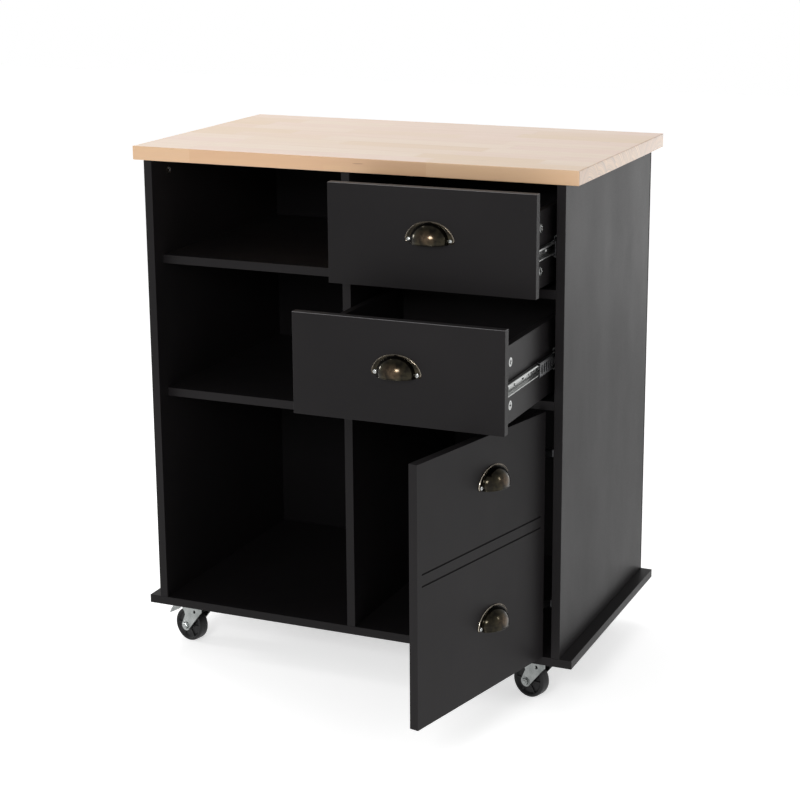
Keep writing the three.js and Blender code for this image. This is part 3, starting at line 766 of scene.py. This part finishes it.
def add_slides(zinc, shaded_nickel, plastic, screw, ball):
    """Replaces each slide's three members, and adds its ball cages, balls and screws."""
    sizes = {
        "cabinet": dict(flange=10.0, lip=2.2, spacing=58),
        "middle": dict(flange=7.2, lip=0.6),
        "drawer": dict(flange=8.2, lip=0.6, spacing=64),
    }
    for level in ("upper", "lower"):
        drawer = f"{level}_drawer"
        bodies = {"cabinet": "cabinet", "middle": f"{drawer}_slide_middles", "drawer": drawer}
        for side, towards in (("left", 1), ("right", -1)):
            for member, size in sizes.items():
                node = f"{level}_{side}_slide_{member}_member"
                low, high = corners_of(node)
                length, height = high.y - low.y, high.z - low.z
                # The middle member takes the shaded nickel, not zinc: painted shade for its place inside the
                # cabinet.
                if member == "middle":
                    steel, holes = shaded_nickel, ladder_holes(length)
                else:
                    steel, holes = zinc, slide_holes(length, size["spacing"])
                mesh = member_mesh(node + "_steel", steel, length, height, size["flange"], size["lip"], holes)
                way = -towards if member == "drawer" else towards
                web = low.x if way > 0 else high.x
                place = metres(web, low.y, (low.z + high.z) / 2)
                if way < 0:
                    place = place @ Matrix.Diagonal((-1, 1, 1, 1))
                    mesh.flip_normals()
                add_piece(f"{node}_steel", mesh, bodies[member], place, 0.18, [node])
            add_cage(f"{level}_{side}_slide", bodies["middle"], towards, plastic, ball)
            low, high = corners_of(f"{level}_{side}_slide_drawer_member")
            web = high.x if towards > 0 else low.x
            for i, y in enumerate(SLIDE_SCREWS):
                spot = metres(web - towards * SLIDE_STEEL, low.y + y, (low.z + high.z) / 2)
                name = f"{level}_{side}_slide_screw_{i}"
                fasten(name, screw, drawer, spot, -90 * towards, "Y", 24 * i)


def add_cage(name, body, towards, plastic, ball):
    """The strips that space the balls between the middle and drawer members, and their balls."""
    low, high = corners_of(f"{name}_middle_member")
    drawer_low, drawer_high = corners_of(f"{name}_drawer_member")
    rail = (drawer_high.z - drawer_low.z) / 2 + 0.1
    centre = (low.z + high.z) / 2
    web = low.x if towards > 0 else high.x
    start, length, near, far = low.y + CAGE["start"], CAGE["length"], CAGE["near"], CAGE["far"]
    balls, out = CAGE_BALLS, CAGE_BALLS["out"]
    along = [balls["first"] + balls["pitch"] * i for i in range(balls["count"])]
    for end, way in (("top", 1), ("bottom", -1)):
        holes = [circle(y, out, balls["hole"], 12) for y in along]
        strip = sheet([(0, near), (length, near), (length, far), (0, far)], CAGE["thickness"], holes)
        laid = Matrix(((0, towards, 0, 0), (1, 0, 0, 0), (0, 0, way, 0), (0, 0, 0, 1)))
        mesh = Shape().add(strip, laid).mesh(f"{name}_{end}_cage", plastic)
        add_piece(mesh.name, mesh, body, metres(web, start, centre + way * (rail + 0.15)))
        for i, y in enumerate(along):
            spot = metres(web + towards * out, start + y, centre + way * (rail + 0.5))
            add_piece(f"{name}_{end}_ball_{i}", ball, body, spot)


# ----- fasteners -----
def add_cams(cam):
    """Cam discs on the drawers' sides and at the top of the side panels' inner faces."""
    for level in ("upper", "lower"):
        for side, out in (("left", -1), ("right", 1)):
            low, high = corners_of(f"{level}_drawer_{side}_side")
            face = high.x if out > 0 else low.x
            middle = (low.z + high.z) / 2
            for name, way in (("top", 1), ("bottom", -1)):
                height = middle + way * CAM["from_middle"]
                spot = metres(face - out * CAM["sunk"], low.y + CAM["behind_front"], height)
                body = f"{level}_drawer"
                fasten(f"{body}_{side}_{name}_cam", cam, body, spot, 90 * out, "Y", 20 * way + 8)
    top = corners_of("worktop")[0].z
    for side, inward in (("left", 1), ("right", -1)):
        low, high = corners_of(f"{side}_side_panel")
        face = high.x if inward > 0 else low.x
        for name, y in (("front", low.y + CAM["inset"]), ("rear", high.y - CAM["inset"])):
            spot = metres(face - inward * CAM["sunk"], y, top - CAM["down"])
            fasten(f"{side}_panel_{name}_cam", cam, "cabinet", spot, 90 * inward, "Y", 33)


def add_back_nails(nail):
    """Round nail heads round the back panel's edge and down the divider."""
    low, high = corners_of("back_panel")
    inset, end, rows, gaps = NAIL["inset"], NAIL["end"], NAIL["rows"], NAIL["gaps"]
    spots = []
    for i in range(rows):
        z = low.z + end + (high.z - low.z - 2 * end) * i / (rows - 1)
        spots += [(low.x + inset, z), (high.x - inset, z), (0, z)]
    for i in range(1, gaps):
        x = low.x + (high.x - low.x) * i / gaps
        spots += [(x, low.z + inset), (x, high.z - inset)]
    for i, (x, z) in enumerate(spots):
        spot = metres(x, high.y - NAIL["sunk"], z)
        fasten(f"back_nail_{i:02d}", nail, "cabinet", spot, -90, "X", 37 * i)


def add_hinge_screws(screw):
    """Screws that hold the hinge cups to the door, and their arms to the side panel."""
    door = door_frame()
    for level in ("lower", "upper"):
        cup = door.inverted() @ (centre_of(f"{level}_hinge_cup") * MM)
        low, high = corners_of(f"{level}_hinge_arm")
        z = (low.z + high.z) / 2
        for name, way in (("above", 1), ("below", -1)):
            height = cup.z / MM + way * CUP_SCREW["apart"]
            spot = door @ metres(-CUP_SCREW["inset"], DOOR_THICKNESS + CUP_SCREW["out"], height)
            fasten(f"{level}_hinge_cup_screw_{name}", screw, "door", spot, -90, "X", 15 * way)
            height = z + way * ARM_SCREW["apart"]
            spot = metres(high.x - ARM_SCREW["out"], low.y + ARM_SCREW["inset"], height)
            fasten(f"{level}_hinge_arm_screw_{name}", screw, "cabinet", spot, -90, "Y", 28 * way)
        for i, inset in enumerate(ADJUSTER["insets"]):
            spot = metres(high.x - ADJUSTER["out"], low.y + inset, z)
            fasten(f"{level}_hinge_adjuster_{i}", screw, "cabinet", spot, -90, "Y", 50 * i)


# ----- casters, drawn about the swivel axis, the wheel trailing towards +X -----
def caster_plate_mesh(material):
    """The top plate with its four slots, and the pressed race below it."""
    half, top, thick = CASTER["plate"] / 2, CASTER["top"], CASTER["thickness"]
    hole = CASTER["hole"]
    holes = [slot_hole(x * hole, y * hole, 1.6, 2.6) for x in (-1, 1) for y in (-1, 1)]
    shape = Shape().add(sheet(rounded(-half, half, -half, half, 5), thick, holes), at(z=top - thick))
    under = top - thick
    race = [
        (0, under + 0.5), (24.5, under + 0.5), (24.5, under - 0.3), (22.6, under - 0.9), (21.2, under - 2.6),
        (20.4, under - 4.6), (18.8, under - 5.9), (16.5, under - 6.2), (0, under - 6.2),
    ]
    shape.add(lathe(race, 48))
    return shape.mesh("caster_plate", material)


def fork_mesh(material, brake):
    """The stamped fork: a dished crown, two cheeks, the kingpin's rivet, washers, bolt head and nut."""
    gap, leg, trail, wheel, crown = (CASTER[key] for key in ("gap", "leg", "trail", "wheel", "crown"))
    outside = gap / 2 + leg
    dish = [
        (0, crown), (15, crown), (18.6, crown - 0.4), (21.2, crown - 1.7), (22.3, crown - 3.6),
        (22.4, crown - 5.2), (20.4, crown - 5.2), (19.6, crown - 3.4), (17.6, crown - 2.5), (0, crown - 2.3),
    ]
    shape = Shape().add(lathe(dish, 48))
    back = 30 if brake else 18
    shape.add(sheet(rounded(-15, back, -outside, outside, 3), 2.4), at(z=crown - 4.9))
    outline = [(-15, crown - 3), (-15, 64)]
    outline += arc(trail, wheel, 9.5, 205, 375, 18)
    if brake:
        outline += [(25, 52), (27, 58), (31, 63), (31, crown - 3)]
    else:
        outline += [(24, 52), (19, 66), (18, crown - 3)]
    holes = [circle(2, 62, 3.2, 18)]
    for y in (-outside, gap / 2):
        shape.add(sheet(outline, leg, holes), at(y=y + leg) @ turn(90, "X"))
    rivet = [(0, -9.4), (4.4, -9.4), (6.2, -8.2), (6.6, -6.6), (6.6, -4.4), (0, -4.4)]
    shape.add(lathe(rivet, 32), at(z=crown))
    axle = lathe([(0, -outside), (3.9, -outside), (3.9, outside), (0, outside)], 24)
    shape.add(axle, at(trail, 0, wheel) @ turn(90, "X"))
    washer = [(3.9, 0), (7.4, 0), (7.6, 0.2), (7.6, 0.8), (7.4, 1.0), (3.9, 1.0)]
    head = [(0, 0.8), (6.0, 0.8), (6.3, 1.2), (6.3, 3.3), (5.4, 4.0), (3.2, 4.0), (2.6, 3.6), (0, 3.6)]
    stub = [(0, 3.4), (2.8, 3.4), (2.8, 4.4), (2.4, 4.8), (0, 4.8)]
    for way in (-1, 1):
        place = at(trail, way * outside, wheel) @ turn(-90 * way, "X")
        shape.add(lathe(washer, 32, loop=True), place)
        shape.add(lathe(head, 6), place @ turn(11 * way, "Z"))
        shape.add(lathe(stub, 20), place)
    return shape.mesh(f"caster_fork_{'brake' if brake else 'plain'}", material, 30)


def wheel_meshes(rubber, plastic):
    """The tread with its rounded shoulders and mould line, and the ribbed hub inside it."""
    radius = CASTER["wheel"]
    half = [
        (27.2, 10.6), (28.6, 10.6), (29.8, 9.9), (30.6, 8.6), (30.95, 6.4), (radius, 3.0), (radius, 0.5),
        (30.8, 0.35),
    ]
    tread = Shape().add(lathe(half + [(r, -y) for r, y in half[::-1]], 96, loop=True), turn(90, "X"))
    side = [
        (4.2, 13.0), (6.0, 13.0), (6.6, 12.6), (9.4, 12.4), (10.0, 11.8), (10.4, 8.0), (12.0, 7.0),
        (22.6, 6.4), (24.0, 7.4), (25.2, 9.4), (26.4, 10.2), (27.4, 10.2),
    ]
    hub = Shape().add(lathe(side + [(r, -y) for r, y in side[::-1]], 72, loop=True), turn(90, "X"))
    for i in range(6):
        for way in (-1, 1):
            rib = sheet(rounded(10, 25.4, -1.1, 1.1, 0.8), 2.6)
            hub.add(rib, turn(60 * i, "Y") @ at(y=way * 6.2) @ turn(-90 * way, "X"))
    return tread.mesh("wheel_tread", rubber, 40), hub.mesh("wheel_hub", plastic, 35)


def brake_mesh(material):
    """The foot lever: a cranked strip with side walls, and ribs across its drooping tread."""
    steel = 1.8
    shank = [(22, 66.5), (26, 66.0), (30, 66.6), (33, 68.6), (36, 69.2), (43, 67.4)]
    tread = [(50, 65.0), (53.8, 62.9), (57.2, 60.2), (60, 56.8), (62.4, 53.0), (64.6, 49.2), (66.4, 45.9)]
    shape = Shape().add(ribbon(shank + tread, steel, -13.0, 13.0))
    for y in (-13.4, 11.8):
        shape.add(ribbon([(24, 64.4), (32, 66.4), (38, 66.4), (50, 62.8), (55, 59.6)], 3.4, y, y + 1.6))
    rib = lathe([(0, -10.5), (0.7, -10.5), (1.0, -10.2), (1.0, 10.2), (0.7, 10.5), (0, 10.5)], 12)
    for (x, z), (next_x, next_z) in zip(tread, tread[1:]):
        rise = steel / 2 / math.hypot(next_x - x, next_z - z)
        on_top = at((x + next_x) / 2 + (z - next_z) * rise, 0, (z + next_z) / 2 + (next_x - x) * rise)
        shape.add(rib, on_top @ turn(90, "X"))
    pin = lathe([(0, -14.2), (2.4, -14.2), (2.8, -13.9), (2.8, 13.9), (2.4, 14.2), (0, 14.2)], 24)
    shape.add(pin, at(26, 0, 68) @ turn(90, "X"))
    return shape.mesh("brake_lever", material, 35)


def add_casters(zinc, rubber, plastic, screw, ball):
    plate, plain, braked = caster_plate_mesh(zinc), fork_mesh(zinc, False), fork_mesh(zinc, True)
    tread, hub = wheel_meshes(rubber, plastic)
    lever = brake_mesh(zinc)
    for end in ("front", "rear"):
        for side in ("left", "right"):
            name = f"{end}_{side}"
            pivot, axle = centre_of(f"{name}_caster_plate"), centre_of(f"{name}_caster_wheel")
            heading = math.degrees(math.atan2(axle.y - pivot.y, axle.x - pivot.x))
            fixed = metres(pivot.x, pivot.y, 0)
            swung = fixed @ turn(heading, "Z")
            brake = f"{name}_brake_lever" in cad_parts
            body = f"{name}_caster"
            fork = braked if brake else plain
            add_piece(f"{name}_caster_top", plate, "cabinet", fixed, 0.25, [f"{body}_plate"])
            add_piece(f"{name}_caster_yoke", fork, body, swung, 0.3, [f"{body}_fork"])
            axle_place = swung @ metres(CASTER["trail"], 0, CASTER["wheel"])
            wheel = f"{name}_wheel"
            add_piece(f"{wheel}_tread", tread, wheel, axle_place, 0, [f"{body}_wheel"])
            add_piece(f"{wheel}_hub", hub, wheel, axle_place, 0.25)
            if brake:
                replaced = [f"{name}_brake_lever"]
                add_piece(f"{name}_brake_pedal", lever, f"{name}_brake", swung, 0.2, replaced)
            corners = [(x * CASTER["hole"], y * CASTER["hole"]) for y in (-1, 1) for x in (-1, 1)]
            for i, (x, y) in enumerate(corners):
                spot = fixed @ metres(x, y, CASTER["top"] - CASTER["thickness"])
                fasten(f"{name}_plate_screw_{i}", screw, "cabinet", spot, 180, "X", 41 * i)
            for i, (x, y) in enumerate(circle(0, 0, CASTER["race"], 18)):
                spot = swung @ metres(x, y, CASTER["crown"] + 0.7)
                add_piece(f"{name}_race_ball_{i:02d}", ball, body, spot)


# ----- studio -----
def add_floor():
    half, depth = 9000, 20
    square = [(-half, -half), (half, -half), (half, half), (-half, half)]
    floor = Shape().add(sheet(square, depth), at(z=-depth)).mesh("studio_floor", floor_material())
    stage = bpy.data.objects.new("studio_floor", floor)
    bpy.context.scene.collection.objects.link(stage)


def floor_material():
    """White paper sweep: pale, faintly mottled, and lifted a little so that its shadow stays soft."""
    g = Graph("studio_paper", {"Roughness": 0.8, "Specular IOR Level": 0.2, "Emission Color": (1, 1, 1, 1)})
    g.shader.inputs["Emission Strength"].default_value = 0.56
    mottle = g.span(g.noise(g.point, 1.3, 2), 0.3, 0.7)
    return g.finish(g.mix(mottle, (0.80, 0.80, 0.80, 1), (0.82, 0.82, 0.82, 1)))


def add_light(name, place, target, size, power):
    light = bpy.data.lights.new(name, "AREA")
    light.shape = "RECTANGLE"
    light.size, light.size_y = size
    light.energy = power
    lamp = bpy.data.objects.new(name, light)
    lamp.location = place
    lamp.rotation_euler = (Vector(target) - Vector(place)).to_track_quat("-Z", "Y").to_euler()
    bpy.context.scene.collection.objects.link(lamp)


def add_studio():
    world = bpy.data.worlds.new("studio")
    bpy.context.scene.world = world
    world.use_nodes = True
    tree = world.node_tree
    axes = tree.nodes.new("ShaderNodeSeparateXYZ")
    tree.links.new(tree.nodes.new("ShaderNodeTexCoord").outputs["Generated"], axes.inputs[0])
    fade = tree.nodes.new("ShaderNodeMapRange")
    for socket, value in {1: 0.1, 2: 0.75, 3: 1.0, 4: 0.45}.items():
        fade.inputs[socket].default_value = value
    tree.links.new(axes.outputs["Z"], fade.inputs[0])
    background = tree.nodes["Background"].inputs
    tree.links.new(fade.outputs[0], background["Strength"])
    background["Color"].default_value = (1, 1, 1, 1)
    add_light("key", (0.5, -3.1, 1.8), (0.1, -0.2, 0.7), (0.8, 0.55), 36)
    add_light("right", (2.9, 0.1, 1.5), (0.3, 0, 0.5), (0.3, 0.7), 5)
    add_light("left", (-2.9, -0.3, 1.2), (0, -0.3, 0.6), (0.3, 0.5), 12)
    add_light("sheen", (1.0, 3.2, 0.3), (0.4, 0, 0.5), (1.4, 0.9), 5)
    add_light("top", (-1.3, 0.9, 2.8), (0, 0, 0.8), (1.4, 1.1), 26)
    bpy.context.scene.view_settings.view_transform = "Standard"


def add_camera():
    """From the front right, above the worktop. The small shift keeps the cart's uprights nearly parallel."""
    azimuth, elevation, roll = 23.52, 14.21, -0.39
    data = bpy.data.cameras.new("camera")
    data.sensor_width = 36
    data.lens = 87.16
    data.shift_y = -0.05
    data.clip_end = 60
    camera = bpy.data.objects.new("camera", data)
    camera.location = (1.3304, -2.8989, 1.3704)
    camera.rotation_mode = "QUATERNION"
    turned = turn(azimuth, "Z") @ turn(90 - elevation, "X") @ turn(roll, "Z")
    camera.rotation_quaternion = turned.to_quaternion()
    bpy.context.scene.collection.objects.link(camera)
    bpy.context.scene.camera = camera


# ----- assembly -----
def dress_cad_nodes(black, black_painted_edge_highlight, hardboard, wood, shaded_nickel):
    replaced = ("_pull", "_member", "_caster_plate", "_caster_fork", "_caster_wheel", "_brake_lever")
    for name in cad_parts:
        if name.endswith(replaced):
            continue
        if name == "worktop":
            dress_node(name, wood, WORKTOP_BEVEL)
        elif name == "back_panel" or name.endswith("_drawer_bottom"):
            dress_node(name, hardboard, 0.3)
        elif "_hinge_" in name:
            dress_node(name, shaded_nickel, 0.25)
        elif name.endswith("_drawer_front"):
            dress_node(name, black_painted_edge_highlight, BOARD_BEVEL)
        else:
            dress_node(name, black, BOARD_BEVEL)


def build():
    black, black_painted_edge_highlight = satin_black("satin_black", painted_edge_highlight=False), satin_black("black_painted_edge_highlight", painted_edge_highlight=True)
    hardboard, wood = black_hardboard(), rubberwood()
    zinc = plated_steel("zinc_plate", ZINC_LIGHT, ZINC_DARK, 0.22, 0.34, (900, 6, 900))
    caster_zinc = plated_steel("caster_zinc", DULL_ZINC_LIGHT, DULL_ZINC_DARK, 0.20, 0.34, (300, 300, 60))
    shaded_nickel = shade_darkened_nickel()
    bright = plated_steel("bright_steel", ZINC_LIGHT, ZINC_DARK, 0.16, 0.28, (500, 500, 500))
    rubber, plastic = black_rubber(), dark_plastic()
    dress_cad_nodes(black, black_painted_edge_highlight, hardboard, wood, shaded_nickel)
    head = {name: Shape().add(cross_head(*sizes)).mesh(name, bright) for name, sizes in HEADS.items()}
    side = [(BALL_RADIUS * math.sin(a), -BALL_RADIUS * math.cos(a)) for a in np.linspace(0, math.pi, 9)]
    ball = Shape().add(lathe(side, 14)).mesh("bearing_ball", bright, 60)
    add_pulls(antique_bronze(), head["pull_screw"])
    add_slides(zinc, shaded_nickel, plastic, head["slide_screw"], ball)
    add_cams(head["cam_disc"])
    add_back_nails(head["nail_head"])
    add_hinge_screws(head["slide_screw"])
    add_casters(caster_zinc, rubber, plastic, head["plate_screw"], ball)
    add_floor()
    add_studio()
    add_camera()


build()

bpy.context.view_layer.update()
